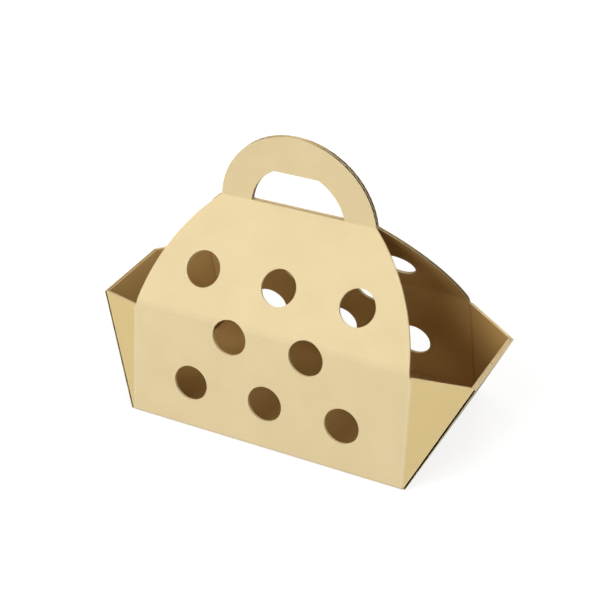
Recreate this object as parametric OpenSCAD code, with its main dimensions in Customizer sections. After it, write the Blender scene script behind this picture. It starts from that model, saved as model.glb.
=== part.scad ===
// Fruit box: one sheet of corrugated board, cut, creased and folded into a carry box.
// The bottom is flat, two holed panels lean together and end in a pair of handle loops,
// and two flared ends are closed to the panels by gussets whose flaps are glued inside.
// X runs along the length, Y from front to back, Z up from the table. Sizes are in mm and degrees.

/* [Board] */
// length of the bottom, from one end crease to the other
length = 300; // [260:1:340]
// depth of the bottom, from the front crease to the back crease
depth = 184; // [166:1:208]
// thickness of the board
board = 2.5; // [1.6:0.1:3.4]

/* [Holed panels] */
// flat lower part of a panel, measured up the board to the top of the side crease
lower_height = 118; // [102:1:134]
// lean of the lower part away from upright
lower_lean = 9.8; // [6:0.1:13]
// outer radius of the soft bend above the side crease
bend_radius = 24; // [18:1:40]
// lean of the upper part away from upright
upper_lean = 34.2; // [29:0.1:39]
// radius of the arched cut at each side of a panel
arch_radius = 212; // [170:1:280]
// step from the side crease in to the foot of the arch
shoulder = 1.5; // [1.2:0.1:5]
// radius of the relief cut at the top of a side crease
relief = 1; // [0.6:0.1:1.1]

/* [Air holes] */
// diameter of a round hole
hole_diameter = 36.8; // [28:0.1:44]
// distance between neighbouring holes of a row
hole_pitch = 83.5; // [74:0.5:92]
// distance between rows, measured up the board
row_pitch = 60; // [52:0.5:66]
// height of the lowest row, measured up the board
first_row = 49; // [40:0.5:58]

/* [Handle] */
// width of a handle loop at its crease
handle_width = 166; // [150:1:182]
// height of a handle loop above its crease
handle_height = 75.5; // [66:0.5:88]
// width of the grip opening at the crease
grip_width = 100; // [86:1:114]
// height of the grip opening above the crease
grip_height = 37; // [30:0.5:43]
// step from the crease up to where the cuts of a handle loop start
grip_rise = 0.4; // [0.2:0.1:2]
// gap between the two handle loops
handle_seam = 0.5; // [0.3:0.1:1]

/* [Ends] */
// height of an end, measured up the board
end_height = 116.5; // [100:0.5:132]
// lean of an end outwards from upright
end_flare = 26.6; // [16:0.1:34]
// width of an end along its top edge
end_top_width = 94; // [76:1:124]
// amount the glued flaps stop short of the top edge of an end
flap_step = 1.1; // [0.5:0.1:2]
// gap between the two flaps inside an end
flap_seam = 0.4; // [0.3:0.1:3]
// gap between the flaps and the bottom
flap_lift = 1.5; // [0.8:0.1:4]
// depth that the face of a gusset lies behind its creases
gusset_set = 0.3; // [0.1:0.1:0.8]

/* [Hidden] */
$fn = 96;
// steps of the bend, of an arch and of a sharp fold
bend_steps = 14;
arch_steps = 28;
fold_steps = 6;
// overrun of a cut past the faces that it goes through
overrun = 2;
// the middle plane of the seam is y = 0, so a handle crease stands this far in front of it
crease_y = board + handle_seam / 2;
// distance up the board from the sharp front corner of the bottom to the end of its rounded fold
fold_run = board * (tan(lower_lean) + 1 / cos(lower_lean));
// inner fold line at the foot of the front panel, as [y, z]
fold = [fold_run - depth / 2, board];
// outer profile of the front panel as [y, z]: end of the lower part, centre and end of the bend
low_end = [-depth / 2 + lower_height * sin(lower_lean), lower_height * cos(lower_lean)];
bend_mid = low_end + bend_radius * [cos(lower_lean), -sin(lower_lean)];
bend_end = bend_mid + bend_radius * [-cos(upper_lean), sin(upper_lean)];
bend_run = bend_radius * (upper_lean - lower_lean) * PI / 180;
// the upper part is as long as it takes to reach the handle crease
upper_run = (-crease_y - bend_end[0]) / sin(upper_lean);
crease_z = bend_end[1] + upper_run * cos(upper_lean);
crease_v = lower_height + bend_run + upper_run;
crease = [-crease_y, crease_z];
// handle loop and grip opening share one centre
handle_radius = (pow(handle_width / 2, 2) + pow(handle_height, 2)) / (2 * handle_height);
handle_mid = crease_z + handle_height - handle_radius;
grip_radius = norm([grip_width / 2, handle_height - handle_radius]);
// the shoulder is cut this high up the board, just above the lower part
shoulder_v = lower_height + gusset_set;
// arch: circle through its foot on the shoulder and the end of the handle crease, as [x, v]
arch_foot = [length / 2 - shoulder, shoulder_v];
arch_top = [handle_width / 2, crease_v];
arch_chord = arch_top - arch_foot;
arch_sag = sqrt(pow(arch_radius, 2) - pow(norm(arch_chord) / 2, 2));
arch_side = [-arch_chord[1], arch_chord[0]] / norm(arch_chord);
arch_mid = (arch_foot + arch_top) / 2 + arch_sag * arch_side;
arch_from = atan2(arch_foot[1] - arch_mid[1], arch_foot[0] - arch_mid[0]);
arch_to = atan2(arch_top[1] - arch_mid[1], arch_top[0] - arch_mid[0]);
// corners of a gusset on the outer faces: bottom corner, top of the side crease, top of the end
corner = [length / 2, -depth / 2, 0];
crease_top = [length / 2, low_end[0], low_end[1]];
end_top = [length / 2 + end_height * sin(end_flare), -end_top_width / 2, end_height * cos(end_flare)];
// inner fold line at the foot of an end, measured up the board
end_fold = board / cos(end_flare);
// the fold of an end stops this many degrees short of the underside and runs into the bottom as a
// tongue, which lies this far inside the faces of the bottom
fold_short = 10;
tongue_set = board / 10;
// rows of holes as [height up the board, number of holes]
hole_rows = [[first_row, 3], [first_row + row_pitch, 2], [first_row + 2 * row_pitch, 3]];

// points along an arc
function arc(mid, radius, from, to, steps) = [
    for (i = [0 : steps]) let (a = from + (to - from) * i / steps) mid + radius * [cos(a), sin(a)]
];

// the same points from last to first, and mirrored from front to back
function turned(path) = [for (i = [len(path) - 1 : -1 : 0]) path[i]];
function flipped(path) = [for (p = path) [-p[0], p[1]]];

// height v on the board, measured as seen square to the upper part from its crease
function seen(v) = v >= lower_height + bend_run
    ? v - crease_v
    : -upper_run - bend_radius * sin((lower_height + bend_run - v) / bend_radius * 180 / PI);

// lean of the panel at height v
function lean_at(v) = v <= lower_height ? lower_lean
    : v >= lower_height + bend_run ? upper_lean
    : lower_lean + (v - lower_height) / bend_radius * 180 / PI;

// outer face of the front panel at height v as [y, z]
function face_at(v) = v <= lower_height
    ? [-depth / 2 + v * sin(lower_lean), v * cos(lower_lean)]
    : v >= lower_height + bend_run
    ? bend_end + (v - lower_height - bend_run) * [sin(upper_lean), cos(upper_lean)]
    : bend_mid + bend_radius * [-cos(lean_at(v)), sin(lean_at(v))];

// half width of an end at height v on its board
function half_end(v) = depth / 2 - (depth - end_top_width) / 2 * v / end_height;

// a point [x, z] beside the foot of an end, as [up the board, out of the face the flaps are glued to]
function to_end(p) = [
    p[0] * sin(end_flare) + p[1] * cos(end_flare),
    p[0] * cos(end_flare) - p[1] * sin(end_flare)
];

// children stand at x and height v with Y up the board and Z out of the outer face
module on_panel(x, v) {
    translate([x, face_at(v)[0], face_at(v)[1]]) rotate([90 - lean_at(v), 0, 0]) children();
}

// children stand at the right end with Y up the board and Z out of the face the flaps are glued to
module on_end() {
    translate([length / 2, 0, 0]) rotate([0, 0, 90]) rotate([90 + end_flare, 0, 0]) children();
}

// children are a section drawn as y and z, and are drawn out along X
module along(run) {
    rotate([90, 0, 90]) linear_extrude(height = run, center = true) children();
}

// section of the bottom, both panels and both handle loops, as y and z
module strip_section() {
    outer = concat(
        arc(fold, board, 270, 180 - lower_lean, fold_steps),
        arc(bend_mid, bend_radius, 180 - lower_lean, 180 - upper_lean, bend_steps),
        [crease, crease + [0, handle_height]]
    );
    inner = concat(
        [fold],
        arc(bend_mid, bend_radius - board, 180 - lower_lean, 180 - upper_lean, bend_steps),
        arc(crease, board, -upper_lean, 0, fold_steps),
        [crease + [board, handle_height]]
    );
    polygon(concat(turned(outer), flipped(outer), turned(flipped(inner)), inner));
}

// section of an end and its fold, as height up the board and distance out of the glued face
module end_section() {
    polygon(concat(
        [[end_fold, 0], [end_height, 0], [end_height, board]],
        arc([end_fold, 0], board, 90, 180 - end_flare - fold_short, fold_steps),
        [to_end([-board, tongue_set]), to_end([-board, board - tongue_set])]
    ));
}

// board outside the arched cut at the right of the front panel, laid on the upper part
module arch_waste() {
    cut = arc(arch_mid, arch_radius, arch_from, arch_to, arch_steps);
    polygon(concat(
        [for (p = cut) [p[0], seen(p[1])]],
        [[handle_width / 2, overrun], [length / 2 + overrun, overrun],
            [length / 2 + overrun, seen(shoulder_v)]]
    ));
}

// board outside the handle loops, as x and z
module handle_waste() {
    difference() {
        translate([-length / 2 - overrun, crease_z + grip_rise])
            square([length + 2 * overrun, handle_height + overrun]);
        translate([0, handle_mid]) circle(handle_radius);
    }
}

// grip opening with its flat top, as x and z
module grip() {
    intersection() {
        translate([0, handle_mid]) circle(grip_radius);
        translate([-grip_width, crease_z + grip_rise]) square([2 * grip_width, grip_height - grip_rise]);
    }
}

// what is cut out of the front panel
module panel_cuts() {
    cut_in = bend_radius * (1 - cos(upper_lean - lower_lean)) + board + overrun;
    // arches
    for (s = [0, 1]) mirror([s, 0, 0])
        on_panel(0, crease_v) translate([0, 0, -cut_in])
            linear_extrude(height = cut_in + overrun) arch_waste();
    // air holes, each square to the face at its middle
    for (row = hole_rows, i = [0 : row[1] - 1])
        on_panel((i - (row[1] - 1) / 2) * hole_pitch, row[0])
            cylinder(h = 6 * board, d = hole_diameter, center = true);
}

// bottom, panels and handle loops, folded as one strip and cut to outline
module strip() {
    difference() {
        along(length) strip_section();
        for (s = [0, 1]) mirror([0, s, 0]) panel_cuts();
        rotate([90, 0, 0]) linear_extrude(height = 4 * board, center = true) {
            handle_waste();
            grip();
        }
    }
}

// right end with the two flaps glued to its inside
module end_wall() {
    half_fold = depth / 2 - board;
    high = end_height + overrun;
    flap_low = end_fold + flap_lift;
    flap_high = end_height - flap_step;
    flap_side = 2 * gusset_set;
    on_end() {
        // end, narrowed towards its top
        intersection() {
            along(depth) end_section();
            linear_extrude(height = 4 * board, center = true) polygon([
                [-half_fold, -2 * board], [half_fold, -2 * board], [half_fold, end_fold],
                [half_end(end_fold), end_fold], [half_end(high), high],
                [-half_end(high), high], [-half_end(end_fold), end_fold], [-half_fold, end_fold]
            ]);
        }
        // flaps
        for (s = [0, 1]) mirror([s, 0, 0]) translate([0, 0, -board]) linear_extrude(height = board)
            polygon([[flap_seam / 2, flap_low], [half_end(flap_low) - flap_side, flap_low],
                [half_end(flap_high) - flap_side, flap_high], [flap_seam / 2, flap_high]]);
    }
}

// front right gusset between the side crease and the end
module gusset() {
    up = (crease_top - corner) / norm(crease_top - corner);
    out = (end_top - corner) / norm(end_top - corner);
    in = cross(up, out) / norm(cross(up, out));
    rim = [corner + up * fold_run, crease_top, end_top, corner + out * fold_run];
    polyhedron(
        points = concat([for (p = rim) p + in * gusset_set], [for (p = rim) p + in * board]),
        faces = [[0, 1, 2, 3], [7, 6, 5, 4], [0, 4, 5, 1], [1, 5, 6, 2], [2, 6, 7, 3], [3, 7, 4, 0]]
    );
}

// the whole folded sheet
module carton() {
    color([0.80, 0.66, 0.38]) difference() {
        union() {
            strip();
            for (s = [0, 1]) mirror([s, 0, 0]) {
                end_wall();
                gusset();
                mirror([0, 1, 0]) gusset();
            }
        }
        // relief cuts at the tops of the side creases
        for (s = [0, 1], u = [0, 1]) mirror([0, s, 0]) mirror([u, 0, 0])
            on_panel(length / 2, lower_height) cylinder(h = 6 * board, r = relief, center = true);
    }
}

carton();
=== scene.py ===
"""Fruit box: one sheet of corrugated board, folded into a carry box, on a pale floor.

The sheet is drawn on flat charts, as it was before folding, and each chart is carried to its place by
a fold path. Lengths are in millimetres and degrees, and MM turns them into metres.
"""

import logging
from collections.abc import Callable
from dataclasses import dataclass, field
from enum import Enum

import bmesh
import bpy
import numpy as np
from mathutils import Matrix, Vector
from numpy.typing import NDArray

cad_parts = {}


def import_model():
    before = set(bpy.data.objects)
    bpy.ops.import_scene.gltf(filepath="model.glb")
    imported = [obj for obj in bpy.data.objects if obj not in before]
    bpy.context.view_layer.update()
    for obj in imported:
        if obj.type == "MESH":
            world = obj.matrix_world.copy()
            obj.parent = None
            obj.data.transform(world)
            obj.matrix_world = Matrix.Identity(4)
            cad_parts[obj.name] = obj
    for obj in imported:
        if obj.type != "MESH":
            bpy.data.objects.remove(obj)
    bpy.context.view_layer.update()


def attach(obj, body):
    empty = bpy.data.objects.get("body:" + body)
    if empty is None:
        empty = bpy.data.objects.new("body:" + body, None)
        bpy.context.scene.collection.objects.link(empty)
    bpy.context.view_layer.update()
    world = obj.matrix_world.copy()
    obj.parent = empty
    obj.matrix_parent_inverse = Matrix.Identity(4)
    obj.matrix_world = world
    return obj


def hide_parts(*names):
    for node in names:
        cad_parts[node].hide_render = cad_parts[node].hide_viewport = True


Array = NDArray[np.float64]
Placing = Callable[[Array, Array, Array], Array]
OnChart = Callable[[Array], Array]
Socket = bpy.types.NodeSocket
Color = tuple[float, float, float]

LOG = logging.getLogger("fruit_box")
MM = 0.001
UV_PER_MM = 0.01
# Points nearer than MERGE_GAP are merged and edges shorter than SLIVER dissolved, in millimetres.
MERGE_GAP = 0.004
SLIVER = 0.001
# The cut attribute is PALE_CUT at a liner's inner edge and in a shallow gap, and 1 in a deep one, where the
# gap's painted shade is full.
PALE_CUT = 0.5
# Period of a wave texture at scale 1.
WAVE_PERIOD = 2 * np.pi / 20
# Turns a chart over to the other side of the box.
MIRROR = np.array([-1.0, 1.0])


class Ply(Enum):
    """The two faces of a board, named by the side of the box that they show on."""

    OUTSIDE = 0
    INSIDE = 1


@dataclass(frozen=True)
class Board:
    """Corrugated board: two liners with a fluted sheet between them.

    Attributes:
        shallow_cut: Depth of the gap in a cut that the die crushed.
        open_cut: Depth to which one looks into open flutes.
        dark_below: How much deeper than a shallow gap one is where its painted shade is full.
        sharp_turn: Turn of a cut from point to point, in radians, that counts as a corner.
        flute_set: How far the fluted sheet stands back from the cut.
    """

    thickness: float = 2.5
    liner: float = 0.34
    flute_sheet: float = 0.3
    flute_pitch: float = 6.4
    shallow_cut: float = 0.45
    open_cut: float = 8.0
    dark_below: float = 2.0
    sharp_turn: float = 0.2
    flute_set: float = 0.12
    cut_step: float = 0.75
    flute_step: float = 0.5

    def cut_depth(self, waste: Array, openness: Array) -> Array:
        """Depth of the gap in a cut edge: shallow + (open - shallow) * min(openness * c * c, 1).

        c is the cosine of the angle between the cut's normal and the flutes.

        Args:
            waste: Unit normals of the cut, across and along the flutes.
            openness: How far the flutes stand open at each normal, 0 where the die crushed the cut.

        Returns:
            One depth for each normal, as a column.
        """
        share = np.minimum(openness * waste[:, 1] ** 2, 1.0)
        return (self.shallow_cut + (self.open_cut - self.shallow_cut) * share)[:, None]

    def cut_tone(self, depth: Array) -> Array:
        """Painted shade of a gap's bottom, from pale where it is shallow to 1 where it is dark_below deeper.
        """
        deeper = np.clip((depth - self.shallow_cut) / self.dark_below, 0.0, 1.0)
        return PALE_CUT + (1.0 - PALE_CUT) * deeper

    def flute_depth(self, across: Array) -> Array:
        """Depth of the fluted sheet below the outer face: middle + height * cos(2 pi across / pitch)."""
        height = self.thickness / 2 - self.liner - self.flute_sheet / 2
        return self.thickness / 2 + height * np.cos(2 * np.pi * across / self.flute_pitch)


@dataclass(frozen=True)
class BoxSizes:
    """Driving sizes of the folded sheet: the solid's own, but for flap_inset and the creases' roundings."""

    length: float = 300.0
    depth: float = 184.0
    lower_height: float = 118.0
    lower_lean: float = 9.8
    bend_radius: float = 24.0
    upper_lean: float = 34.2
    arch_radius: float = 212.0
    shoulder: float = 1.5
    shoulder_rise: float = 0.3
    relief: float = 1.0
    hole_diameter: float = 36.8
    hole_pitch: float = 83.5
    row_pitch: float = 60.0
    first_row: float = 49.0
    handle_width: float = 166.0
    handle_height: float = 75.5
    grip_width: float = 100.0
    grip_height: float = 37.0
    grip_rise: float = 0.4
    handle_seam: float = 0.5
    end_height: float = 116.5
    end_flare: float = 26.6
    end_top_width: float = 94.0
    flap_step: float = 1.1
    flap_seam: float = 0.4
    flap_lift: float = 1.5
    flap_inset: float = 0.2
    crease_round: float = 2.6
    side_round: float = 3.0

    def panel_fold(self, thickness: float) -> float:
        """Chart length of a panel's fold from its sharp corner: thickness * (tan lean + 1 / cos lean)."""
        lean = np.radians(self.lower_lean)
        return thickness * (np.tan(lean) + 1 / np.cos(lean))

    def end_fold(self, thickness: float) -> float:
        """Where an end's fold starts along the box: half the length + thickness * tan flare."""
        return self.length / 2 + thickness * np.tan(np.radians(self.end_flare))


@dataclass(frozen=True)
class FoldPath:
    """Outer line of a folded board in one plane, as straight runs and arcs.

    Over a run of length L and turn T the heading grows evenly, so a point at distance s into it lies a
    chord of s * sinc(T s / 2 L) away, at the heading halfway through the turn.

    Attributes:
        runs: Length and turn in degrees of each run.
        marks: Chart height at the start of each run and at the end of the last.
        heading: Heading at the start, in degrees.
        side: 1 where the outer face looks left of the heading, and -1 where it looks right.
    """

    runs: tuple[tuple[float, float], ...]
    marks: tuple[float, ...]
    heading: float
    side: int

    def knots(self) -> tuple[Array, Array, Array]:
        """Work out where the runs start.

        Returns:
            Distance, heading in radians and point at the start of each run and the end of the last.
        """
        runs = np.array(self.runs)
        turns = np.radians(runs[:, 1])
        distance = np.concatenate([[0.0], np.cumsum(runs[:, 0])])
        heading = np.radians(self.heading) + np.concatenate([[0.0], np.cumsum(turns)])
        chord = runs[:, 0] * np.sinc(turns / 2 / np.pi)
        halfway = heading[:-1] + turns / 2
        steps = chord[:, None] * np.stack([np.cos(halfway), np.sin(halfway)], axis=1)
        return distance, heading, np.concatenate([[[0.0, 0.0]], np.cumsum(steps, axis=0)])

    def at(self, height: Array, depth: Array) -> tuple[Array, Array, Array]:
        """Find points of the board.

        Args:
            height: Chart heights.
            depth: Depths below the outer face.

        Returns:
            Both coordinates of the points in the path's plane, and the headings there.
        """
        distance, heading, points = self.knots()
        s = np.interp(height, self.marks, distance)
        run = np.clip(np.searchsorted(distance, s, side="right") - 1, 0, len(self.runs) - 1)
        into = s - distance[run]
        turn = (heading[run + 1] - heading[run]) * into / (distance[run + 1] - distance[run])
        chord = into * np.sinc(turn / 2 / np.pi)
        halfway = heading[run] + turn / 2
        here = heading[run] + turn
        a = points[run, 0] + chord * np.cos(halfway) + self.side * depth * np.sin(here)
        b = points[run, 1] + chord * np.sin(halfway) - self.side * depth * np.cos(here)
        return a, b, here


@dataclass
class SheetMesh:
    """Collects grids of points into one mesh with a chart as its UV map and a cut-edge attribute."""

    points: list[Array] = field(default_factory=list)
    charts: list[Array] = field(default_factory=list)
    cuts: list[Array] = field(default_factory=list)
    quads: list[Array] = field(default_factory=list)
    plies: list[Array] = field(default_factory=list)
    count: int = 0

    def add(self, points: Array, chart: Array, cut: Array, outward: Array, ply: Ply = Ply.OUTSIDE) -> None:
        """Add a grid of quads whose faces look along a given direction.

        Args:
            points: Grid of points, rows by columns by 3.
            chart: Flat place of each point, across and along the flutes.
            cut: How deep each point lies in a cut edge, from 0 to 1.
            outward: Direction in which the faces look, at each point.
            ply: Liner that the grid belongs to.
        """
        rows, columns = points.shape[:2]
        index = self.count + np.arange(rows * columns).reshape(rows, columns)
        quads = np.stack([index[:-1, :-1], index[1:, :-1], index[1:, 1:], index[:-1, 1:]], axis=-1)
        normal = np.cross(points[1:, 1:] - points[:-1, :-1], points[:-1, 1:] - points[1:, :-1])
        if np.sum(normal * outward[:-1, :-1]) < 0:
            quads = quads[..., ::-1]
        self.points.append(points.reshape(-1, 3))
        self.charts.append(chart.reshape(-1, 2))
        self.cuts.append(np.broadcast_to(cut, (rows, columns)).reshape(-1))
        self.quads.append(quads.reshape(-1, 4))
        self.plies.append(np.full((rows - 1) * (columns - 1), float(ply.value)))
        self.count += rows * columns

    def build(self, name: str, sharp: float) -> bpy.types.Object:
        """Make the mesh object, with doubles merged and edges sharp above an angle.

        Args:
            name: Name of the object.
            sharp: Angle in degrees above which an edge is sharp.

        Returns:
            The object, at the origin, with its place in its mesh.
        """
        points = np.concatenate(self.points) * MM
        quads = np.concatenate(self.quads)
        mesh = bpy.data.meshes.new(name)
        mesh.from_pydata(points, [], quads)
        chart = np.concatenate(self.charts)[quads.reshape(-1)] * UV_PER_MM
        mesh.uv_layers.new(name="chart").data.foreach_set("uv", chart.astype(np.float32).reshape(-1))
        ply = mesh.attributes.new("ply", "FLOAT", "FACE")
        ply.data.foreach_set("value", np.concatenate(self.plies).astype(np.float32))
        cut = mesh.attributes.new("cut", "FLOAT", "POINT")
        cut.data.foreach_set("value", np.concatenate(self.cuts).astype(np.float32))
        work = bmesh.new()
        work.from_mesh(mesh)
        bmesh.ops.remove_doubles(work, verts=work.verts, dist=MERGE_GAP * MM)
        bmesh.ops.dissolve_degenerate(work, edges=work.edges, dist=SLIVER * MM)
        work.to_mesh(mesh)
        work.free()
        mesh.shade_smooth()
        mesh.set_sharp_from_angle(angle=np.radians(sharp))
        mesh.validate()
        made = bpy.data.objects.new(name, mesh)
        bpy.context.scene.collection.objects.link(made)
        return made


def grid_between(low: Array, high: Array, steps: int) -> Array:
    """Rule a chart grid between two lines: point = low + (high - low) * j / steps.

    Args:
        low: Chart points of the first line.
        high: Chart points of the second line, as many.
        steps: Steps from line to line.

    Returns:
        Grid of chart points, points along the lines by steps + 1 across.
    """
    share = np.linspace(0.0, 1.0, steps + 1)[None, :, None]
    return low[:, None, :] + (high - low)[:, None, :] * share


def resample(line: Array, step: float) -> Array:
    """Walk a line in even steps.

    Args:
        line: Chart points of the line.
        step: Length of a step, about.

    Returns:
        Chart points along the line, its ends among them.
    """
    along = np.concatenate([[0.0], np.cumsum(np.linalg.norm(np.diff(line, axis=0), axis=1))])
    even = np.linspace(0.0, along[-1], max(2, int(np.ceil(along[-1] / step)) + 1))
    return np.stack([np.interp(even, along, line[:, 0]), np.interp(even, along, line[:, 1])], axis=1)


def arc_points(mid: tuple[float, float], radius: float, start: float, end: float, steps: int) -> Array:
    """Points mid + radius * (cos a, sin a), with a in even steps from start to end in degrees."""
    angle = np.radians(np.linspace(start, end, steps + 1))
    return np.stack([mid[0] + radius * np.cos(angle), mid[1] + radius * np.sin(angle)], axis=1)


def line_points(start: tuple[float, float], end: tuple[float, float], steps: int) -> Array:
    """Points in even steps along a straight line."""
    return np.linspace(start, end, steps + 1)


def left_of(line: Array, closed: bool) -> Array:
    """Unit normals on the left of a line, from the chord through each point's neighbours.

    Args:
        line: Chart points of the line.
        closed: Whether the last point is the first again.

    Returns:
        One normal for each point.
    """
    chord = np.gradient(line, axis=0)
    if closed:
        chord[0] = chord[-1] = line[1] - line[-2]
    return np.stack([-chord[:, 1], chord[:, 0]], axis=1) / np.linalg.norm(chord, axis=1)[:, None]


def crushed(points: Array) -> Array:
    """Openness of a cut that the die pressed nearly shut: none at any point."""
    return np.zeros(len(points))


@dataclass(frozen=True)
class SheetMap:
    """How a part of the sheet is carried from its chart.

    Attributes:
        place: Takes chart points and depths below the outer face to the folded box.
        across: Gives the place across and along the flutes of chart points.
    """

    place: Placing
    across: OnChart


@dataclass(frozen=True)
class CutLine:
    """A cut through the sheet.

    Attributes:
        line: Chart points along the cut, with the waste on the left.
        closed: Whether the cut closes on itself.
        openness: Gives how far the flutes stand open at chart points.
    """

    line: Array
    closed: bool = False
    openness: OnChart = crushed


@dataclass
class FoldedSheet:
    """What each part of the sheet does with its charts: faces, cut edges and flutes."""

    sizes: BoxSizes
    board: Board
    liners: SheetMesh
    edges: SheetMesh
    flutes: SheetMesh

    def add_faces(self, chart: Array, lay: SheetMap) -> None:
        """Add both faces of the board over a chart grid.

        Args:
            chart: Grid of chart points.
            lay: How the chart is carried.
        """
        zero = np.zeros(chart.shape[:2])
        outer = lay.place(chart[..., 0], chart[..., 1], zero)
        inner = lay.place(chart[..., 0], chart[..., 1], zero + self.board.thickness)
        self.liners.add(outer, lay.across(chart), zero, outer - inner)
        self.liners.add(inner, lay.across(chart), zero, inner - outer, Ply.INSIDE)

    def walk_cut(self, cut: CutLine, step: float, lay: SheetMap) -> tuple[Array, Array, Array]:
        """Walk a cut in even steps and find its gap, shallow at sharp corners to stay in the board.

        Args:
            cut: The cut.
            step: Length of a step, about.
            lay: How the chart is carried.

        Returns:
            Chart points of the edge, unit normals towards the waste, and the gap's depths as a column.
        """
        edge = resample(cut.line, step)
        waste = left_of(edge, cut.closed)
        depth = self.board.cut_depth(lay.across(edge + waste) - lay.across(edge), cut.openness(edge))
        turn = np.linalg.norm(np.gradient(waste, axis=0), axis=1)[:, None]
        return edge, waste, np.where(turn > self.board.sharp_turn, self.board.shallow_cut, depth)

    @staticmethod
    def add_strip(mesh: SheetMesh, chart: Array, depth: Array, tone: Array, lay: SheetMap) -> None:
        """Add a strip along a cut, its first face looking at the waste, away from the third column.

        Args:
            mesh: Mesh that takes the strip.
            chart: Chart points, along the cut by round the strip.
            depth: Depths below the outer face, as many.
            tone: How deep each point lies in the cut, from 0 to 1.
            lay: How the chart is carried.
        """
        points = lay.place(chart[..., 0], chart[..., 1], depth)
        facing = np.zeros_like(points)
        facing[:, 0] = points[:, 0] - lay.place(chart[:, 2, 0], chart[:, 2, 1], depth[:, 0])
        mesh.add(points, lay.across(chart), tone, facing)

    def add_cut(self, cut: CutLine, lay: SheetMap) -> None:
        """Add a cut edge: the ends of both liners, the gap between them and the fluted sheet in it.

        The gap is the band between the liners' inner faces, as deep as walk_cut finds it.

        Args:
            cut: The cut.
            lay: How the chart is carried.
        """
        board = self.board
        edge, waste, gap = self.walk_cut(cut, board.cut_step, lay)
        deep = edge - gap * waste
        near, far = board.liner, board.thickness - board.liner
        chart = np.stack([edge, edge, deep, deep, edge, edge], axis=1)
        depth = np.broadcast_to([0.0, near, near, far, far, board.thickness], chart.shape[:2])
        liner_tone = [0.0, PALE_CUT, 0.0, 0.0, PALE_CUT, 0.0]
        # The gap's tone sets how much painted shade its bottom takes.
        tone = np.where([0, 0, 1, 1, 0, 0], board.cut_tone(gap), liner_tone)
        self.add_strip(self.edges, chart, depth, tone, lay)
        self.add_flutes(cut, lay)

    def add_flutes(self, cut: CutLine, lay: SheetMap) -> None:
        """Add the fluted sheet that shows in a cut edge, as a thin closed strip at the flutes' own depth.

        Args:
            cut: The cut.
            lay: How the chart is carried.
        """
        board = self.board
        edge, waste, gap = self.walk_cut(cut, board.flute_step, lay)
        front, back = edge - board.flute_set * waste, edge - gap * waste
        half = board.flute_sheet / 2
        chart = np.stack([front, front, back, back, front], axis=1)
        depth = board.flute_depth(lay.across(chart)[..., 0]) + np.array([-half, half, half, -half, -half])
        self.add_strip(self.flutes, chart, depth, board.cut_tone(gap), lay)


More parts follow.
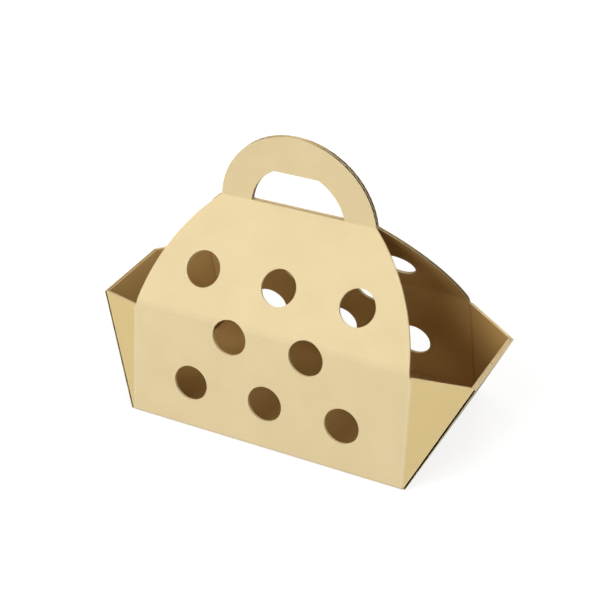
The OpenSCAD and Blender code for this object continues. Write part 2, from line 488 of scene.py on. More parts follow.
@dataclass
class HoledPanel(FoldedSheet):
    """Front or back panel with its handle loop and its two gussets.

    The chart is x along the box and v up the board from the sharp bottom corner. The steps, points, rows
    and columns say how fine the grids are.

    Attributes:
        back: Whether it is the back panel.
        arch_gap: How far the flutes stand open in the arch at the right.
        holes_in_rows: Air holes in each row, from the bottom up.
        gusset_start: Share of its rays at which a gusset's grid starts, just off the bottom corner.
        coarse_columns: First and last share, and count, of the columns away from a side crease.
        fine_columns: The same for the columns beside it.
    """

    back: bool = False
    arch_gap: float = 0.0
    holes_in_rows: tuple[int, int, int] = (3, 2, 3)
    hole_steps: int = 144
    ring_steps: int = 36
    ring_rows: int = 9
    fold_points: int = 11
    foot_points: int = 6
    top_points: int = 24
    top_columns: int = 48
    round_points: int = 7
    crease_steps: int = 22
    arch_steps: int = 96
    relief_steps: int = 8
    loop_points: int = 181
    loop_rows: int = 8
    grip_steps: int = 60
    gusset_steps: int = 30
    gusset_points: int = 40
    gusset_start: float = 0.004
    coarse_columns: tuple[float, float, int] = (0.0, 0.88, 7)
    fine_columns: tuple[float, float, int] = (0.9, 1.0, 11)

    def __post_init__(self) -> None:
        """Work out the fold paths, the arch and the gusset from the sizes."""
        s, thick = self.sizes, self.board.thickness
        low, up = np.radians(s.lower_lean), np.radians(s.upper_lean)
        self.lay = SheetMap(self.place, self.across)
        self.fold_run = s.panel_fold(thick)
        bend_run = s.bend_radius * (up - low)
        low_end = np.array([-s.depth / 2 + s.lower_height * np.sin(low), s.lower_height * np.cos(low)])
        bend_end = low_end + s.bend_radius * np.array([np.cos(low) - np.cos(up), np.sin(up) - np.sin(low)])
        bend_top = s.lower_height + bend_run
        self.crease_v = bend_top - (thick + s.handle_seam / 2 + bend_end[0]) / np.sin(up)
        trim = s.crease_round * np.tan(up / 2)
        self.profile = FoldPath(
            runs=((s.depth / 2 - self.fold_run, 0.0),
                  (thick * (np.pi / 2 + low), -90.0 - s.lower_lean),
                  (s.lower_height - self.fold_run, 0.0),
                  (bend_run, s.lower_lean - s.upper_lean),
                  (self.crease_v - bend_top - trim, 0.0),
                  (s.crease_round * up, s.upper_lean),
                  (s.handle_height - trim, 0.0)),
            marks=(-s.depth / 2, -self.fold_run, self.fold_run, s.lower_height, bend_top,
                   self.crease_v - trim, self.crease_v + trim, self.crease_v + s.handle_height),
            heading=180.0, side=1)
        self.crease_trim = trim
        self.set_arch()
        self.set_gusset(low)

    def set_arch(self) -> None:
        """Find the arch's circle through its foot on the shoulder and the end of the handle crease."""
        s = self.sizes
        foot = np.array([s.length / 2 - s.shoulder, s.lower_height + s.shoulder_rise])
        top = np.array([s.handle_width / 2, self.crease_v])
        chord = top - foot
        reach = np.linalg.norm(chord)
        inward = np.array([-chord[1], chord[0]]) / reach
        self.arch_mid = (foot + top) / 2 + np.sqrt(s.arch_radius**2 - (reach / 2) ** 2) * inward
        self.arch_from, self.arch_to = np.degrees(
            [np.arctan2(*(foot - self.arch_mid)[::-1]), np.arctan2(*(top - self.arch_mid)[::-1])])
        self.handle_radius = (s.handle_width**2 / 4 + s.handle_height**2) / (2 * s.handle_height)
        self.handle_mid = self.crease_v + s.handle_height - self.handle_radius
        self.grip_radius = np.hypot(s.grip_width / 2, self.handle_mid - self.crease_v)

    def set_gusset(self, low: float) -> None:
        """Find the gusset's fold angle and the chart place of its outer corner.

        Args:
            low: Lean of the lower part, in radians.
        """
        s = self.sizes
        flare = np.radians(s.end_flare)
        reach = np.array([s.end_height * np.sin(flare), (s.depth - s.end_top_width) / 2,
                          s.end_height * np.cos(flare)])
        rise = np.array([0.0, np.sin(low), np.cos(low)])
        out = np.array([0.0, -np.cos(low), np.sin(low)])
        half = s.length / 2
        turn = np.arctan2(-reach @ out, reach[0])
        self.gusset_top = np.array([half + np.hypot(reach[0], reach @ out), reach @ rise])
        trim = s.side_round * np.tan(turn / 2)
        far = self.gusset_top[0] + s.length
        self.sides = FoldPath(
            runs=((half - trim, 0.0), (s.side_round * turn, -np.degrees(turn)), (far - half - trim, 0.0)),
            marks=(0.0, half - trim, half + trim, far), heading=0.0, side=1)

    def place(self, x: Array, v: Array, depth: Array) -> Array:
        """Carry chart points to the folded box: the profile in y and z, bent back beyond the side creases.

        Args:
            x: Chart places along the box.
            v: Chart heights up the board.
            depth: Depths below the outer face.

        Returns:
            Points in the box's frame.
        """
        reach, off, _ = self.sides.at(np.abs(x), depth)
        y, z, heading = self.profile.at(v, np.zeros_like(v))
        y = y - off * np.sin(heading)
        z = z + off * np.cos(heading)
        return np.stack([np.sign(x) * reach, -y if self.back else y, z], axis=-1)

    @staticmethod
    def across(chart: Array) -> Array:
        """The flutes run along the box, so height comes first."""
        return chart[..., ::-1]

    def half_width(self, v: Array) -> Array:
        """Half width above the shoulder: the arch, and above the crease the handle's circle.

        Args:
            v: Chart heights up the board.

        Returns:
            One half width for each height.
        """
        arch = self.arch_mid[0] + np.sqrt(self.sizes.arch_radius**2 - (v - self.arch_mid[1]) ** 2)
        loop = np.sqrt(np.maximum(self.handle_radius**2 - (v - self.handle_mid) ** 2, 0.0))
        return np.where(v > self.crease_v, loop, arch)

    def relief_arc(self, start: float, end: float) -> Array:
        """Points of the relief cut at the top of the right side crease, between two angles in degrees."""
        s = self.sizes
        return arc_points((s.length / 2, s.lower_height), s.relief, start, end, self.relief_steps)

    def right_edge(self) -> Array:
        """Right edge from the crease foot of the relief cut, over the shoulder and up the arch.

        Returns:
            Chart points from below the relief cut to the end of the handle crease.
        """
        s = self.sizes
        last = 180.0 + np.degrees(np.arcsin(s.shoulder_rise / s.relief))
        relief = self.relief_arc(-90.0, -last)
        arch = arc_points(tuple(self.arch_mid), s.arch_radius, self.arch_from, self.arch_to,
                          self.arch_steps)
        return np.concatenate([relief, arch])

    def gusset_edge(self) -> Array:
        """Top edge of the right gusset from the relief cut to its outer corner.

        Returns:
            Chart points from below the relief cut to the corner.
        """
        s = self.sizes
        root = np.array([s.length / 2, s.lower_height])
        slope = np.degrees(np.arctan2(*(self.gusset_top - root)[::-1]))
        relief = self.relief_arc(-90.0, slope)
        slant = line_points(tuple(relief[-1]), tuple(self.gusset_top), self.gusset_steps)
        return np.concatenate([relief, slant[1:]])

    def loop_edges(self) -> tuple[Array, Array]:
        """Outer and inner edge of the handle loop, station for station.

        The outer edge is a circle. The inner one has the same centre and is cut off flat at the top, so
        its radius is the least of the grip's radius and the flat's height over the sine of the angle.

        Returns:
            Chart points of both edges from the right foot to the left foot.
        """
        s = self.sizes
        foot = self.crease_v + s.grip_rise - self.handle_mid
        flat = self.crease_v + s.grip_height - self.handle_mid
        start = np.arcsin(foot / self.handle_radius), np.arcsin(foot / self.grip_radius)
        share = np.linspace(0.0, 1.0, self.loop_points)
        outer_angle = start[0] + share * (np.pi - 2 * start[0])
        inner_angle = start[1] + share * (np.pi - 2 * start[1])
        corner = np.arcsin(flat / self.grip_radius)
        for bend in (corner, np.pi - corner):
            inner_angle[np.argmin(np.abs(inner_angle - bend))] = bend
        inner_radius = np.minimum(self.grip_radius, flat / np.sin(inner_angle))
        outer = np.stack([np.cos(outer_angle), np.sin(outer_angle)], axis=1) * self.handle_radius
        inner = np.stack([np.cos(inner_angle), np.sin(inner_angle)], axis=1) * inner_radius[:, None]
        return outer + [0.0, self.handle_mid], inner + [0.0, self.handle_mid]

    def ring_cell(self, hole: tuple[float, float], left: Array, right: Array) -> Array:
        """Chart grid between a round hole and the four-sided cell around it.

        A ray from the hole's middle to each point of the cell's rim is shared out between hole and rim.

        Args:
            hole: Middle of the hole.
            left: Chart points up the cell's left side.
            right: Chart points up the cell's right side, as many.

        Returns:
            Grid of chart points, once round by rows out.
        """
        n = self.ring_steps
        rim = np.concatenate([line_points(tuple(left[0]), tuple(right[0]), n)[:-1], right[:-1],
                              line_points(tuple(right[-1]), tuple(left[-1]), n)[:-1], left[::-1]])
        ray = rim - np.array(hole)
        radius = self.sizes.hole_diameter / 2
        round_hole = np.array(hole) + ray / np.linalg.norm(ray, axis=1)[:, None] * radius
        return grid_between(round_hole, rim, self.ring_rows)

    def add_holed_bands(self) -> None:
        """Add the three bands with the air holes: between the creases, up to the shoulder, in the arch."""
        s, n = self.sizes, self.ring_steps
        half = s.length / 2
        for row, holes in enumerate(self.holes_in_rows):
            middle = s.first_row + row * s.row_pitch
            v = np.linspace(middle - s.row_pitch / 2, middle + s.row_pitch / 2, n + 1)
            edges = (np.arange(holes + 1) - holes / 2) * s.hole_pitch
            sides = [np.stack([np.full(n + 1, x), v], axis=1) for x in edges]
            if row == 2:
                sides[0] = np.stack([-self.half_width(v), v], axis=1)
                sides[-1] = sides[0] * MIRROR
            for i in range(holes):
                x = (i - (holes - 1) / 2) * s.hole_pitch
                cell = self.ring_cell((x, middle), sides[i], sides[i + 1])
                self.add_faces(cell, self.lay)
                ring = arc_points((x, middle), s.hole_diameter / 2, 0.0, 360.0, self.hole_steps)
                self.add_cut(CutLine(ring, closed=True), self.lay)
            if row == 0:
                outer = np.stack([np.full(n + 1, half), v], axis=1)
                self.add_both_sides(self.beside(sides[-1], outer))
            if row == 1:
                self.add_both_sides(self.beside_arch(sides[-1]))

    def beside(self, inner: Array, outer: Array) -> Array:
        """Chart grid between two upright lines, with fine columns at the side crease.

        Args:
            inner: Chart points of the inner line.
            outer: Chart points of the outer line, as many.

        Returns:
            Grid of chart points.
        """
        share = np.concatenate([np.linspace(*self.coarse_columns), np.linspace(*self.fine_columns)])
        return inner[:, None, :] + (outer - inner)[:, None, :] * share[None, :, None]

    def beside_arch(self, inner: Array) -> Array:
        """Chart grid beside the middle row of holes, out to the side crease, the relief cut and the arch.

        Args:
            inner: Chart points up the outermost cell's outer side.

        Returns:
            Grid of chart points.
        """
        s = self.sizes
        low, high = inner[0, 1], inner[-1, 1]
        edge = self.right_edge()
        edge = edge[: np.searchsorted(edge[:, 1], high)]
        half = s.length / 2
        crease = line_points((half, low), (half, s.lower_height - s.relief), self.crease_steps)
        last = np.array([[self.half_width(np.array(high)), high]])
        outer = np.concatenate([crease[:-1], edge, last])
        start = np.stack([np.full(len(outer), inner[0, 0]), outer[:, 1]], axis=1)
        return self.beside(start, outer)

    def add_both_sides(self, chart: Array) -> None:
        """Add a chart grid at the right and its mirror image at the left."""
        self.add_faces(chart, self.lay)
        self.add_faces(chart * MIRROR, self.lay)

    def add_plain_bands(self) -> None:
        """Add the foot below the holes, the top below the handle crease, the gussets and the loop."""
        s = self.sizes
        half = s.length / 2
        bands_low = s.first_row - s.row_pitch / 2
        bands_high = bands_low + len(self.holes_in_rows) * s.row_pitch
        crease_low = self.crease_v - self.crease_trim
        foot_v = np.concatenate([np.linspace(-self.fold_run, self.fold_run, self.fold_points),
                                 np.linspace(self.fold_run, bands_low, self.foot_points)[1:]])
        foot = np.stack([np.full(len(foot_v), half), foot_v], axis=1)
        middle = foot * [0.0, 1.0]
        self.add_both_sides(self.beside(middle, foot))
        top_v = np.concatenate([np.linspace(bands_high, crease_low, self.top_points),
                                np.linspace(crease_low, self.crease_v + s.grip_rise, self.round_points)[1:]])
        top = np.stack([self.half_width(top_v), top_v], axis=1)
        self.add_faces(grid_between(top * MIRROR, top, self.top_columns), self.lay)
        corner = np.array([half, 0.0])
        rim = self.gusset_edge()
        share = np.linspace(self.gusset_start, 1.0, self.gusset_points)[None, :, None]
        self.add_both_sides(corner + (rim - corner)[:, None, :] * share)
        outer, inner = self.loop_edges()
        self.add_faces(grid_between(inner, outer, self.loop_rows), self.lay)

    def handle_openness(self, points: Array) -> Array:
        """Openness of the outline: full on the handle loop, and the arch's own below it on the right."""
        below = np.where(points[:, 0] > 0.0, self.arch_gap, 0.0)
        return np.where(points[:, 1] > self.crease_v, 1.0, below)

    def add_cuts(self) -> None:
        """Add the cut edges of the outline and of the grip opening."""
        right = np.concatenate([self.gusset_edge()[::-1], self.right_edge()[1:]])
        loop, grip = self.loop_edges()
        left = (right * MIRROR)[::-1]
        outline = np.concatenate([right, loop[1:-1], left])
        self.add_cut(CutLine(outline[::-1], openness=self.handle_openness), self.lay)
        base = line_points(tuple(grip[-1]), tuple(grip[0]), self.grip_steps)
        grip = np.concatenate([grip, base[1:]])
        self.add_cut(CutLine(grip, closed=True, openness=self.handle_openness), self.lay)

    def build(self) -> None:
        """Add every face and cut edge of the panel."""
        self.add_holed_bands()
        self.add_plain_bands()
        self.add_cuts()


@dataclass
class FlaredEnd(FoldedSheet):
    """Right or left end, with the two flaps of the gussets glued to its inside.

    The chart is y across the end and v up the board from the sharp bottom corner of the glued face. The
    steps, points and columns say how fine the grids are.

    Attributes:
        left: Whether it is the left end.
        side_gap: How far the flutes stand open in the slanting sides.
    """

    left: bool = False
    side_gap: float = 0.0
    fold_points: int = 9
    plate_points: int = 25
    columns: int = 36
    top_steps: int = 60
    flap_columns: int = 16

    def __post_init__(self) -> None:
        """Work out the fold path and how the end and its flaps are carried."""
        s, thick = self.sizes, self.board.thickness
        self.lay = SheetMap(self.place, self.across)
        self.flap_lay = SheetMap(self.place_flap, self.across_flap)
        self.flare = np.radians(s.end_flare)
        self.fold_v = thick / np.cos(self.flare)
        fold_x = s.end_fold(thick)
        self.profile = FoldPath(
            runs=((fold_x, 0.0), (thick * (np.pi / 2 - self.flare), 90.0 - s.end_flare),
                  (s.end_height - self.fold_v, 0.0)),
            marks=(-fold_x, 0.0, self.fold_v, s.end_height), heading=0.0, side=-1)

    def half_width(self, v: Array) -> Array:
        """Half width at a height on the board, tapering evenly to the top."""
        s = self.sizes
        return s.depth / 2 - (s.depth - s.end_top_width) / 2 * v / s.end_height

    def place(self, y: Array, v: Array, depth: Array) -> Array:
        """Carry chart points of the end to the folded box.

        Args:
            y: Chart places across the end.
            v: Chart heights up the board.
            depth: Depths below the outer face.

        Returns:
            Points in the box's frame.
        """
        x, z, _ = self.profile.at(v, depth)
        return np.stack([-x if self.left else x, y, z], axis=-1)

    def place_flap(self, y: Array, v: Array, depth: Array) -> Array:
        """Carry chart points of a flap to the folded box.

        Args:
            y: Chart places across the end.
            v: Chart heights up the board.
            depth: Depths counted in from the glued face.

        Returns:
            Points in the box's frame.
        """
        x = self.sizes.length / 2 + v * np.sin(self.flare) - depth * np.cos(self.flare)
        z = v * np.cos(self.flare) + depth * np.sin(self.flare)
        return np.stack([-x if self.left else x, y, z], axis=-1)

    @staticmethod
    def across(chart: Array) -> Array:
        """The flutes of an end run up it, so the chart itself is across and along."""
        return chart

    def across_flap(self, chart: Array) -> Array:
        """Turn a flap's chart so that its flutes run as they did before the gusset was folded.

        Args:
            chart: Chart points on the end.

        Returns:
            Places across and along the flutes.
        """
        edge = np.array([-(self.sizes.depth - self.sizes.end_top_width) / 2, self.sizes.end_height])
        edge = edge / np.linalg.norm(edge)
        inward = np.array([-edge[1], edge[0]])
        sine, cosine = np.sin(self.flare), np.cos(self.flare)
        mirrored = np.stack([np.abs(chart[..., 0]), chart[..., 1]], axis=-1)
        along = mirrored @ (sine * edge + cosine * inward)
        up = mirrored @ (cosine * edge - sine * inward)
        return np.stack([up, along], axis=-1)

    def side_openness(self, points: Array) -> Array:
        """Openness of the end's slanting sides, the same all along."""
        return np.full(len(points), self.side_gap)

    def add_end(self) -> None:
        """Add the end itself, its rounded fold and its cut edges."""
        s = self.sizes
        fold_half = s.depth / 2 - s.panel_fold(self.board.thickness)
        fold = np.linspace([fold_half, 0.0], [self.half_width(self.fold_v), self.fold_v], self.fold_points)
        plate_v = np.linspace(self.fold_v, s.end_height, self.plate_points)
        plate = np.stack([self.half_width(plate_v), plate_v], axis=1)
        edge = np.concatenate([fold, plate[1:]])
        self.add_faces(grid_between(edge * MIRROR, edge, self.columns), self.lay)
        top = line_points(tuple(plate[-1] * MIRROR), tuple(plate[-1]), self.top_steps)
        self.add_cut(CutLine(top), self.lay)
        for side in (plate[::-1], plate * MIRROR):
            self.add_cut(CutLine(side, openness=self.side_openness), self.lay)

    def add_flaps(self) -> None:
        """Add the two flaps that are glued to the inside of the end."""
        s = self.sizes
        low, high = self.fold_v + s.flap_lift, s.end_height - s.flap_step
        v = np.linspace(low, high, self.plate_points)
        outer = np.stack([self.half_width(v) - s.flap_inset, v], axis=1)
        inner = np.stack([np.full(len(v), s.flap_seam / 2), v], axis=1)
        chart = grid_between(inner, outer, self.flap_columns)
        cut = np.concatenate([outer[-1:], inner[::-1], outer[:1]])
        for flap, line in ((chart, cut[::-1]), (chart * MIRROR, cut * MIRROR)):
            self.add_faces(flap, self.flap_lay)
            self.add_cut(CutLine(line), self.flap_lay)

    def build(self) -> None:
        """Add every face and cut edge of the end."""
        self.add_end()
        self.add_flaps()


@dataclass
class Bottom(FoldedSheet):
    """Flat bottom between the folds, with the rounded corners where the folds meet."""

    rows: int = 36
    columns: int = 60
    fold_points: int = 9
    corner_steps: int = 6

    def build(self) -> None:
        """Add both faces of the bottom and its four corners, each ruled between the ends of two folds."""
        s, thick, n = self.sizes, self.board.thickness, self.fold_points
        fold_x, fold_y = s.end_fold(thick), s.depth / 2 - s.panel_fold(thick)
        side = line_points((fold_x, -fold_y), (fold_x, fold_y), self.rows)
        self.add_faces(grid_between(side * MIRROR, side, self.columns), SheetMap(self.place, self.across))
        front = np.radians(np.linspace(0.0, 90.0 + s.lower_lean, n))
        end = np.radians(np.linspace(0.0, 90.0 - s.end_flare, n))
        first = np.stack([np.full(n, s.length / 2), -fold_y - thick * np.sin(front),
                          thick - thick * np.cos(front)], axis=1)
        second = np.stack([fold_x + thick * np.sin(end), np.full(n, -fold_y),
                           thick - thick * np.cos(end)], axis=1)
        patch = grid_between(first, second, self.corner_steps)
        middle = np.array([fold_x, -fold_y, thick])
        for mirror in np.array([[1, 1, 1], [-1, 1, 1], [1, -1, 1], [-1, -1, 1]], float):
            corner = patch * mirror
            self.liners.add(corner, corner[..., :2], np.zeros(corner.shape[:2]), corner - middle * mirror)

    @staticmethod
    def across(chart: Array) -> Array:
        """The flutes run along the box, so y comes first."""
        return chart[..., ::-1]

    @staticmethod
    def place(x: Array, y: Array, depth: Array) -> Array:
        """The bottom lies on the table, outer face down."""
        return np.stack([x, y, depth + np.zeros_like(x)], axis=-1)


@dataclass(frozen=True)
class NodeBench:
    """A node tree, with the few kinds of node that the finishes are put together from."""

    tree: bpy.types.NodeTree

    def add(self, kind: str) -> bpy.types.Node:
        """Add a node, named by its kind."""
        return self.tree.nodes.new("ShaderNode" + kind)

    def feed(self, target: Socket, value: Socket | float | tuple) -> None:
        """Link another node's output to an input, or set the input's own value.

        Args:
            target: The input.
            value: The output or the value.
        """
        if isinstance(value, bpy.types.NodeSocket):
            self.tree.links.new(value, target)
        else:
            target.default_value = value

    def ranged(self, source: Socket, low: float, high: float, least: float, most: float) -> Socket:
        """Stretch a range of a value into another range, held at the ends.

        Args:
            source: The value.
            low: Value that gives least.
            high: Value that gives most.
            least: Result at low and below.
            most: Result at high and above.

        Returns:
            The result.
        """
        ramp = self.add("MapRange")
        for name, value in zip(("From Min", "From Max", "To Min", "To Max"), (low, high, least, most)):
            self.feed(ramp.inputs[name], value)
        self.feed(ramp.inputs["Value"], source)
        return ramp.outputs["Result"]

    def worked(self, operation: str, first: Socket, second: Socket | float = 0.0) -> Socket:
        """Work out one operation on a value.

        Args:
            operation: Name of the operation.
            first: The value.
            second: Second value or number, where the operation takes one.

        Returns:
            The result.
        """
        node = self.add("Math")
        node.operation = operation
        self.feed(node.inputs[0], first)
        self.feed(node.inputs[1], second)
        return node.outputs["Value"]

    def mixed(self, share: Socket, first: Socket | tuple, second: tuple) -> Socket:
        """Mix two colours by a share. The node's sockets for colours are inputs 6 and 7 and output 2.

        Args:
            share: Share of the second colour.
            first: First colour.
            second: Second colour.

        Returns:
            The mixed colour.
        """
        mix = self.add("Mix")
        mix.data_type = "RGBA"
        for place, value in ((0, share), (6, first), (7, second)):
            self.feed(mix.inputs[place], value)
        return mix.outputs[2]

    def bumped(self, height: Socket, bump: tuple[float, float], normal: Socket | None = None) -> Socket:
        """Bump a normal by a height.

        Args:
            height: Height from 0 to 1.
            bump: Strength of the bump, and its height in millimetres.
            normal: Normal that is bumped, or none for the surface's own.

        Returns:
            The bumped normal.
        """
        node = self.add("Bump")
        self.feed(node.inputs["Strength"], bump[0])
        self.feed(node.inputs["Distance"], bump[1] * MM)
        self.feed(node.inputs["Height"], height)
        if normal is not None:
            self.feed(node.inputs["Normal"], normal)
        return node.outputs["Normal"]


def new_material(name: str) -> tuple[bpy.types.Material, NodeBench, Socket]:
    """Make an empty node material.

    Args:
        name: Name of the material.

    Returns:
        The material, its bench and the input that takes its surface.
    """
    made = bpy.data.materials.new(name)
    made.use_nodes = True
    made.node_tree.nodes.clear()
    bench = NodeBench(made.node_tree)
    return made, bench, bench.add("OutputMaterial").inputs["Surface"]


@dataclass(frozen=True)
class PaperMark:
    """A pattern of noise in the paper.

    Attributes:
        scale: How fine the pattern is.
        detail: How many finer patterns lie over it.
        stretch: Stretch of its coordinates.
        window: Noise at which the mark starts, and at which it is full.
        share: How much of the mark's colour shows where it is full.
    """

    scale: float
    detail: float
    stretch: tuple[float, float, float] = (1.0, 1.0, 1.0)
    window: tuple[float, float] = (0.0, 1.0)
    share: float = 1.0

    def shown(self, bench: NodeBench, source: Socket) -> Socket:
        """Add the pattern on a source of coordinates.

        Args:
            bench: Bench of the material.
            source: Coordinates.

        Returns:
            The share of the mark that shows.
        """
        mapping, texture = bench.add("Mapping"), bench.add("TexNoise")
        bench.feed(mapping.inputs["Scale"], self.stretch)
        bench.feed(mapping.inputs["Vector"], source)
        bench.feed(texture.inputs["Scale"], self.scale)
        bench.feed(texture.inputs["Detail"], self.detail)
        bench.feed(texture.inputs["Vector"], mapping.outputs["Vector"])
        return bench.ranged(texture.outputs["Fac"], *self.window, 0.0, self.share)


@dataclass(frozen=True)
class KraftFinish:
    """Colours of kraft board as sRGB from 0 to 1, and how strongly each mark shows.

    Attributes:
        face: Outer liner.
        shade: Darker parts of its paper.
        fibre_and_crease_shade: Specks in the paper, and the painted shade line inside the side creases.
        cut: Ends of the liners and crushed cuts.
        gap: Bottom of an open gap between the liners, darkened as painted shade of the open flutes.
        inside: Inner liner, darker and browner than the outer one as painted shade of the box's inside.
        crease_highlight: Pale line outside the side creases, a painted highlight where the fold catches
            light.
        gusset: Deeper, yellower tone of the gussets outside, painted shade where they turn away from the
            front.
        crease_mark_width: How far from a side crease its painted light and shade fade out, in millimetres.
        grain_bump: Strength and height in millimetres of the paper's grain.
        flute_bump: The same for the flutes under the liner.
    """

    face: Color = (0.922, 0.845, 0.664)
    shade: Color = (0.840, 0.745, 0.550)
    fibre_and_crease_shade: Color = (0.620, 0.480, 0.290)
    cut: Color = (0.912, 0.834, 0.664)
    gap: Color = (0.200, 0.140, 0.075)
    inside: Color = (0.746, 0.599, 0.347)
    crease_highlight: Color = (0.970, 0.905, 0.735)
    gusset: Color = (0.918, 0.806, 0.532)
    roughness: float = 0.88
    specular: float = 0.18
    inside_shade_share: float = 0.92
    flute_share: float = 0.04
    crease_shade_share: float = 0.75
    crease_highlight_share: float = 0.3
    gusset_shade_share: float = 0.6
    crease_mark_width: float = 2.4
    mottle: PaperMark = PaperMark(26.0, 4.0, window=(0.3, 0.7), share=0.22)
    streak: PaperMark = PaperMark(60.0, 3.0, (1.0, 6.0, 1.0), (0.5, 0.78), 0.35)
    speck: PaperMark = PaperMark(150.0, 2.0, (1.0, 2.5, 1.0), (0.66, 0.78), 0.35)
    grain: PaperMark = PaperMark(120.0, 5.0, (1.0, 2.0, 1.0))
    grain_bump: tuple[float, float] = (0.18, 0.25)
    flute_bump: tuple[float, float] = (0.15, 0.2)

    @staticmethod
    def linear(color: Color) -> tuple[float, float, float, float]:
        """Turn an sRGB colour into the linear one that sockets take, by sRGB's own curve.

        Args:
            color: The sRGB colour.

        Returns:
            The linear colour, with an alpha of 1.
        """
        value = np.array(color)
        low, high = value / 12.92, ((value + 0.055) / 1.055) ** 2.4
        return (*np.where(value <= 0.04045, low, high), 1.0)

    def paper_color(self, bench: NodeBench, chart: Socket, flute: Socket) -> Socket:
        """Colour of the liners: mottled paper with streaks and specks along the sheet and faint flutes.

        Args:
            bench: Bench of the material.
            chart: Place on the flat sheet.
            flute: Height of the flutes there.

        Returns:
            The colour, darker and browner on the inner liner as painted shade.
        """
        shade, fibre_and_crease_shade = self.linear(self.shade), self.linear(self.fibre_and_crease_shade)
        place = bench.add("TexCoord").outputs["Object"]
        color = bench.mixed(self.mottle.shown(bench, place), self.linear(self.face), shade)
        color = bench.mixed(self.streak.shown(bench, chart), color, shade)
        color = bench.mixed(self.speck.shown(bench, chart), color, fibre_and_crease_shade)
        color = bench.mixed(bench.ranged(flute, 0.0, 1.0, 0.0, self.flute_share), color, shade)
        # The inner liner is darkened and browned as painted shade of the box's inside.
        return bench.mixed(self.on_ply(bench, 0.0, self.inside_shade_share), color, self.linear(self.inside))

    @staticmethod
    def on_ply(bench: NodeBench, outside: float, inside: float) -> Socket:
        """Give the two liners a share each.

        Args:
            bench: Bench of the material.
            outside: Share on the outer liner.
            inside: Share on the inner liner.

        Returns:
            The share at each point.
        """
        reader = bench.add("Attribute")
        reader.attribute_name = "ply"
        return bench.ranged(reader.outputs["Fac"], 0.0, 1.0, outside, inside)

    def painted_crease_light(self, bench: NodeBench, chart: Socket, crease: float, color: Socket) -> Socket:
        """Paint light and shade at the side creases and on the gussets: a share for each point, from its
        distance to the crease.

        Args:
            bench: Bench of the material.
            chart: Place on the flat sheet.
            crease: Distance of the side creases from the middle of the box.
            color: Colour of the liners.

        Returns:
            The colour with painted shade on the gussets, a painted shade line inside the creases and a
            painted highlight line outside them.
        """
        sides = bench.add("SeparateXYZ")
        bench.feed(sides.inputs["Vector"], chart)
        width = self.crease_mark_width * UV_PER_MM
        past = bench.worked("SUBTRACT", bench.worked("ABSOLUTE", sides.outputs["Y"]), crease * UV_PER_MM)
        beyond = bench.ranged(past, 0.0, width, 0.0, 1.0)
        line = bench.ranged(bench.worked("ABSOLUTE", past), 0.0, width, 1.0, 0.0)
        # Painted shade on the gussets outside, a painted shade line inside the crease and a painted
        # highlight line outside it.
        for where, outside, inside, tone in ((beyond, self.gusset_shade_share, 0.0, self.gusset),
                                             (line, 0.0, self.crease_shade_share, self.fibre_and_crease_shade),
                                             (line, self.crease_highlight_share, 0.0, self.crease_highlight)):
            share = bench.worked("MULTIPLY", where, self.on_ply(bench, outside, inside))
            color = bench.mixed(share, color, self.linear(tone))
        return color

    def material(self, name: str, flute_pitch: float, crease: float) -> bpy.types.Material:
        """Build the node material: marked paper with painted light and shade at the creases, gussets and
        inner liner, pale cuts, dark gaps as painted shade, fine grain and faint flutes.

        Args:
            name: Name of the material.
            flute_pitch: Pitch of the flutes.
            crease: Distance of the side creases from the middle of the box.

        Returns:
            The material.
        """
        made, bench, surface = new_material(name)
        shader, reader = bench.add("BsdfPrincipled"), bench.add("Attribute")
        reader.attribute_name = "cut"
        depth = reader.outputs["Fac"]
        uv_map, wave = bench.add("UVMap"), bench.add("TexWave")
        uv_map.uv_map = "chart"
        chart, flute = uv_map.outputs["UV"], wave.outputs["Fac"]
        wave.bands_direction = "X"
        bench.feed(wave.inputs["Scale"], WAVE_PERIOD / (flute_pitch * UV_PER_MM))
        bench.feed(wave.inputs["Vector"], chart)
        color = self.painted_crease_light(bench, chart, crease, self.paper_color(bench, chart, flute))
        color = bench.mixed(bench.ranged(depth, 0.0, PALE_CUT, 0.0, 1.0), color, self.linear(self.cut))
        # Deep gaps turn to the gap colour, painted shade in the open flutes.
        color = bench.mixed(bench.ranged(depth, PALE_CUT, 1.0, 0.0, 1.0), color, self.linear(self.gap))
        paper = bench.bumped(self.grain.shown(bench, chart), self.grain_bump)
        bench.feed(shader.inputs["Normal"], bench.bumped(flute, self.flute_bump, paper))
        bench.feed(shader.inputs["Base Color"], color)
        bench.feed(shader.inputs["Roughness"], self.roughness)
        bench.feed(shader.inputs["Specular IOR Level"], self.specular)
        bench.feed(surface, shader.outputs["BSDF"])
        return made


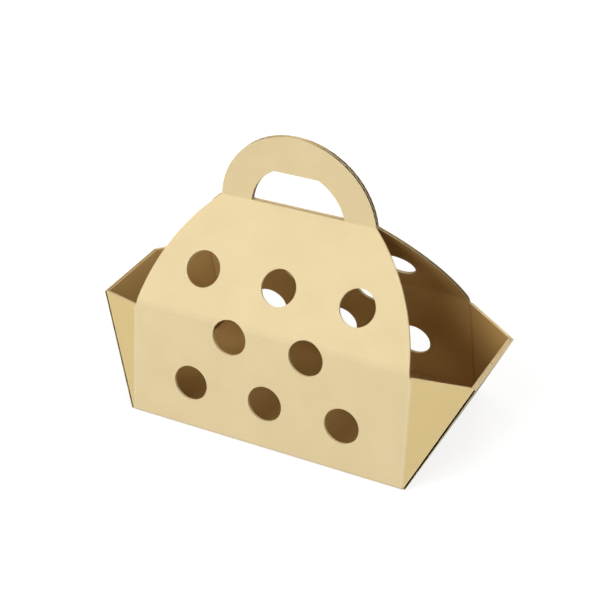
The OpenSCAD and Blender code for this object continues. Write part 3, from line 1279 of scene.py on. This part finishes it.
@dataclass
class FruitBox:
    """The whole folded sheet, as its liners, its cut edges and the flutes that show in them.

    Attributes:
        back_arch_gap: How far the flutes stand open in the back panel's arch, which darkens it with the
            gaps' painted shade.
        right_side_gap: The same in the right end's sides, set more open than the left's so that they take
            more painted shade.
        left_side_gap: The same in the left end's sides.
        board_sharp: Angle in degrees above which edges of liners and cuts are sharp.
        flute_sharp: The same for the fluted sheet.
    """

    sizes: BoxSizes = field(default_factory=BoxSizes)
    board: Board = field(default_factory=Board)
    finish: KraftFinish = field(default_factory=KraftFinish)
    back_arch_gap: float = 0.2
    right_side_gap: float = 4.0
    left_side_gap: float = 2.0
    board_sharp: float = 38.0
    flute_sharp: float = 50.0

    def build(self) -> list[bpy.types.Object]:
        """Build the sheet, dress it and let it stand for the solid.

        Returns:
            The finished pieces.
        """
        liners, edges, flutes = SheetMesh(), SheetMesh(), SheetMesh()
        parts = (self.sizes, self.board, liners, edges, flutes)
        HoledPanel(*parts).build()
        HoledPanel(*parts, back=True, arch_gap=self.back_arch_gap).build()
        FlaredEnd(*parts, side_gap=self.right_side_gap).build()
        FlaredEnd(*parts, left=True, side_gap=self.left_side_gap).build()
        Bottom(*parts).build()
        pieces = [liners.build("carton_board", self.board_sharp),
                  edges.build("carton_edges", self.board_sharp),
                  flutes.build("carton_flutes", self.flute_sharp)]
        kraft = self.finish.material("kraft_board", self.board.flute_pitch, self.sizes.length / 2)
        for piece in pieces:
            piece.data.materials.append(kraft)
            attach(piece, "root")
            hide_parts("carton")
        return pieces


@dataclass(frozen=True)
class Lamp:
    """A soft square lamp, with its place and side in metres and its power in watts."""

    name: str
    place: tuple[float, float, float]
    side: float
    power: float

    def build(self, target: Vector) -> None:
        """Add the lamp.

        Args:
            target: What it looks at, in metres.
        """
        data = bpy.data.lights.new(self.name, "AREA")
        data.size = self.side
        data.energy = self.power
        lamp = bpy.data.objects.new(self.name, data)
        lamp.location = self.place
        lamp.rotation_euler = (target - Vector(self.place)).to_track_quat("-Z", "Y").to_euler()
        bpy.context.scene.collection.objects.link(lamp)


@dataclass(frozen=True)
class Studio:
    """Pale floor, soft lamps and the camera at the photograph's viewing angle.

    The floor's glow is what the camera sees of it besides its light: a level that grows from the first
    value to the second between two distances in metres, so that a soft shadow stays under the box.
    """

    frame_pixels: float = 600.0
    focal_pixels: float = 1562.832
    sensor: float = 36.0
    target: tuple[float, float, float] = (-2.600, 0.0, 119.200)
    distance: float = 1540.539
    azimuth: float = 29.290
    elevation: float = 32.256
    roll: float = -2.311
    floor_half: float = 6000.0
    floor_drop: float = 0.2
    floor_tone: Color = (0.3, 0.3, 0.3)
    glow_reach: tuple[float, float] = (0.25, 1.1)
    glow_level: tuple[float, float] = (0.80, 1.0)
    world_light: float = 0.01
    lamps: tuple[Lamp, ...] = (
        Lamp("key", (-0.61, -1.68, 1.73), 1.8, 31.5),
        Lamp("front", (0.0, -2.36, 0.54), 1.2, 23.5),
        Lamp("top", (0.06, -0.24, 2.51), 1.2, 13.5),
        Lamp("right", (2.20, 0.0, 1.05), 1.2, 8.5),
        Lamp("behind", (1.59, 0.92, 1.66), 1.2, 10.0),
        Lamp("back", (-0.40, 2.30, 0.70), 1.2, 28.0))

    def add_camera(self) -> None:
        """Stand the camera on its sphere round the target and make it the scene's camera."""
        turn, lift, roll = np.radians([self.azimuth, self.elevation, self.roll])
        back = Vector((np.sin(turn) * np.cos(lift), -np.cos(turn) * np.cos(lift), np.sin(lift)))
        right = Vector((0.0, 0.0, 1.0)).cross(back).normalized()
        up = back.cross(right)
        side = right * np.cos(roll) + up * np.sin(roll)
        top = up * np.cos(roll) - right * np.sin(roll)
        data = bpy.data.cameras.new("camera")
        data.sensor_width = self.sensor
        data.lens = self.focal_pixels / self.frame_pixels * self.sensor
        camera = bpy.data.objects.new("camera", data)
        camera.matrix_world = Matrix.Translation((Vector(self.target) + back * self.distance) * MM) @ Matrix(
            (side, top, back)).transposed().to_4x4()
        bpy.context.scene.collection.objects.link(camera)
        bpy.context.scene.camera = camera

    def add_floor(self) -> None:
        """Add the pale floor, white to the camera apart from a soft shadow."""
        half, low = self.floor_half * MM, -self.floor_drop * MM
        mesh = bpy.data.meshes.new("floor")
        mesh.from_pydata([(-half, -half, low), (half, -half, low), (half, half, low), (-half, half, low)],
                         [], [(0, 1, 2, 3)])
        mesh.materials.append(self.floor_material())
        floor = bpy.data.objects.new("floor", mesh)
        bpy.context.scene.collection.objects.link(floor)

    def floor_material(self) -> bpy.types.Material:
        """Build the floor's material: a dull diffuse one that takes shadows, plus the glow.

        Returns:
            The material.
        """
        made, bench, surface = new_material("pale_floor")
        diffuse, glow, both = bench.add("BsdfDiffuse"), bench.add("Emission"), bench.add("AddShader")
        rays, place, away = bench.add("LightPath"), bench.add("TexCoord"), bench.add("VectorMath")
        away.operation = "LENGTH"
        bench.feed(away.inputs[0], place.outputs["Object"])
        level = bench.ranged(away.outputs["Value"], *self.glow_reach, *self.glow_level)
        bench.feed(glow.inputs["Strength"], bench.worked("MULTIPLY", rays.outputs["Is Camera Ray"], level))
        bench.feed(diffuse.inputs["Color"], (*self.floor_tone, 1.0))
        bench.feed(both.inputs[0], diffuse.outputs["BSDF"])
        bench.feed(both.inputs[1], glow.outputs["Emission"])
        bench.feed(surface, both.outputs["Shader"])
        return made

    def add_world(self) -> None:
        """Add an even world, white to the camera and dim as light."""
        world = bpy.data.worlds.new("studio")
        bpy.context.scene.world = world
        world.use_nodes = True
        bench = NodeBench(world.node_tree)
        back = world.node_tree.nodes["Background"]
        seen = bench.add("LightPath").outputs["Is Camera Ray"]
        bench.feed(back.inputs["Color"], (1.0, 1.0, 1.0, 1.0))
        bench.feed(back.inputs["Strength"], bench.ranged(seen, 0.0, 1.0, self.world_light, 1.0))

    def build(self) -> None:
        """Set up the whole studio."""
        bpy.context.scene.view_settings.view_transform = "Standard"
        self.add_camera()
        self.add_floor()
        self.add_world()
        for lamp in self.lamps:
            lamp.build(Vector(self.target) * MM)


def main() -> None:
    """Load the solid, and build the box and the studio."""
    logging.basicConfig(level=logging.INFO, format="%(name)s: %(message)s")
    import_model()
    for piece in FruitBox().build():
        LOG.info("%s has %d faces", piece.name, len(piece.data.polygons))
    Studio().build()


if __name__ == "__main__":
    main()
